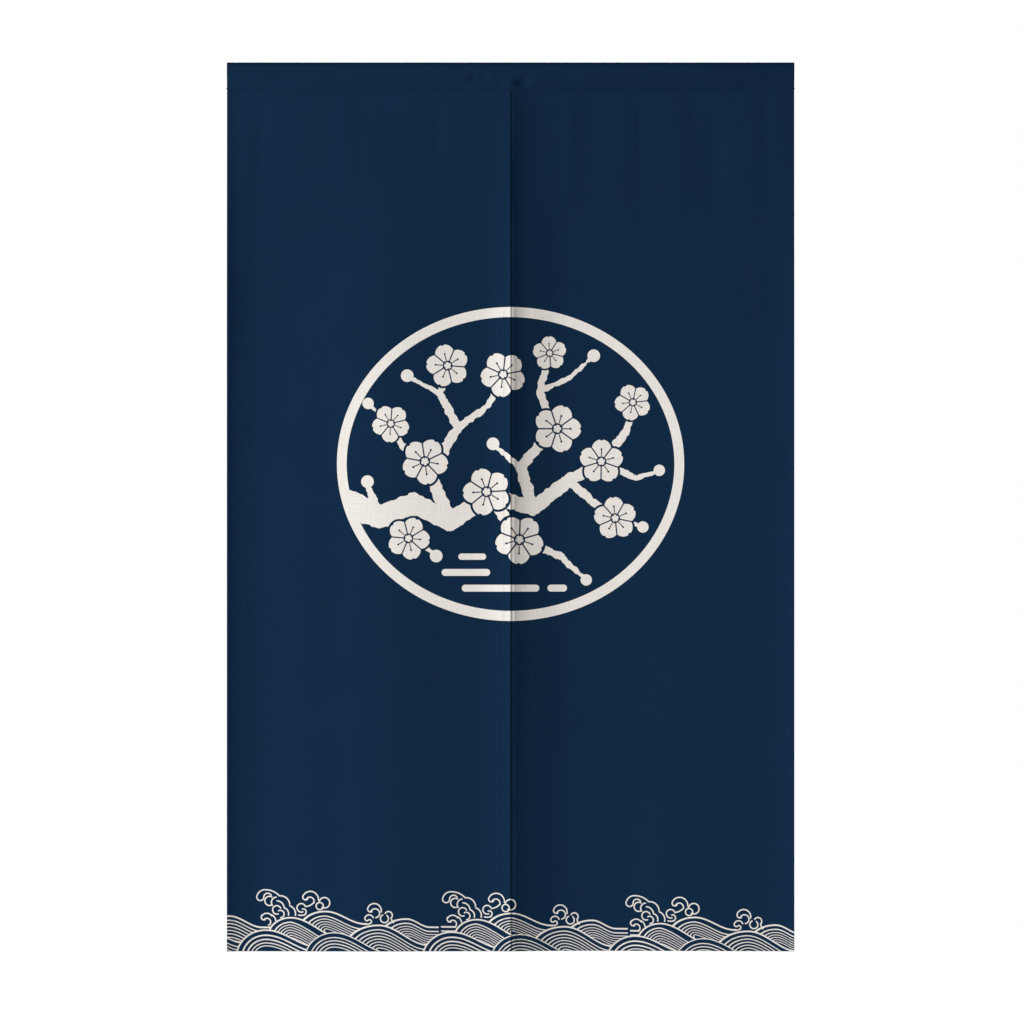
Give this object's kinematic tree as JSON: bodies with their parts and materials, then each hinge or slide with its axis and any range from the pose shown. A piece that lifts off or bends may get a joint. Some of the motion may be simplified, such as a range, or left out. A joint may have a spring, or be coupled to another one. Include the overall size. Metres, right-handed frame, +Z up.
{
  "type": "noren curtain",
  "caption": "Split noren doorway curtain of navy cloth with an open rod sleeve, a ring motif printed across the slit and a wave border along the hem.",
  "frame": {"origin": "middle of the top edge of the rod sleeve, above the slit", "axes": "+Z up, +X to the right as seen from the printed front, front facing -Y"},
  "size_m": [0.901, 0.0293, 1.41],
  "materials": {
    "sleeve_cloth": "matt plain weave",
    "left_cloth": "matt plain weave, printed",
    "right_cloth": "matt plain weave, printed"
  },
  "bodies": {
    "root": {"heading": "sleeve_cloth", "panel_left": "left_cloth", "panel_right": "right_cloth"}
  },
  "joints": []
}
